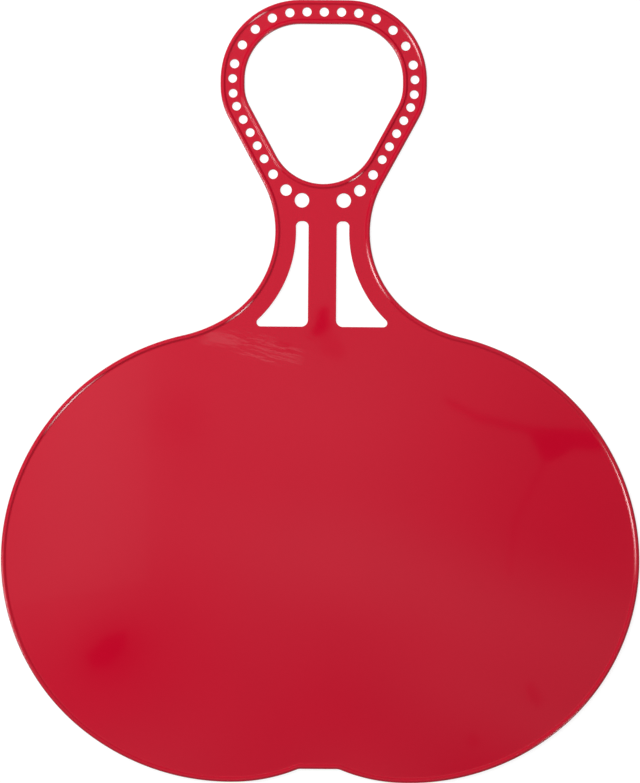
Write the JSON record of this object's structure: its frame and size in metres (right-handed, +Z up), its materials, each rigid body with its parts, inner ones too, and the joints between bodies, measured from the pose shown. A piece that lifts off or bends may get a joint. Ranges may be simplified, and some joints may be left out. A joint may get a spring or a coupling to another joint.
{
  "type": "snow slider",
  "caption": "Flat moulded seat pan with a raised rim, a flexing three-strap neck and a perforated loop handle for sliding on snow.",
  "frame": {"origin": "middle of the outline's bounding box, on the flat underside that slides on the snow", "axes": "+Y from the tail to the loop handle, +X to the rider's right when facing the loop, +Z up out of the seat face"},
  "size_m": [0.4, 0.4901, 0.0036],
  "materials": {
    "moulded_red_polyethylene": "glossy, as moulded, self-coloured red"
  },
  "bodies": {
    "seat": {"seat_pan": "moulded_red_polyethylene"},
    "neck": {"left_neck_strap": "moulded_red_polyethylene", "centre_neck_strap": "moulded_red_polyethylene", "right_neck_strap": "moulded_red_polyethylene"},
    "handle": {"grip_loop": "moulded_red_polyethylene"}
  },
  "joints": [
    {"name": "neck_base_flex", "type": "hinge", "parent": "seat", "child": "neck", "pos_m": [0, 0.04535, 0.0036], "axis": [1, 0, 0], "range_deg": [0, 30], "stiffness_Nm_per_rad": 4},
    {"name": "neck_top_flex", "type": "hinge", "parent": "neck", "child": "handle", "pos_m": [0, 0.10135, 0.0036], "axis": [1, 0, 0], "range_deg": [0, 30], "stiffness_Nm_per_rad": 4}
  ],
  "couplings": [
    {"joint": "neck_top_flex", "follows": "neck_base_flex", "ratio": 1}
  ]
}
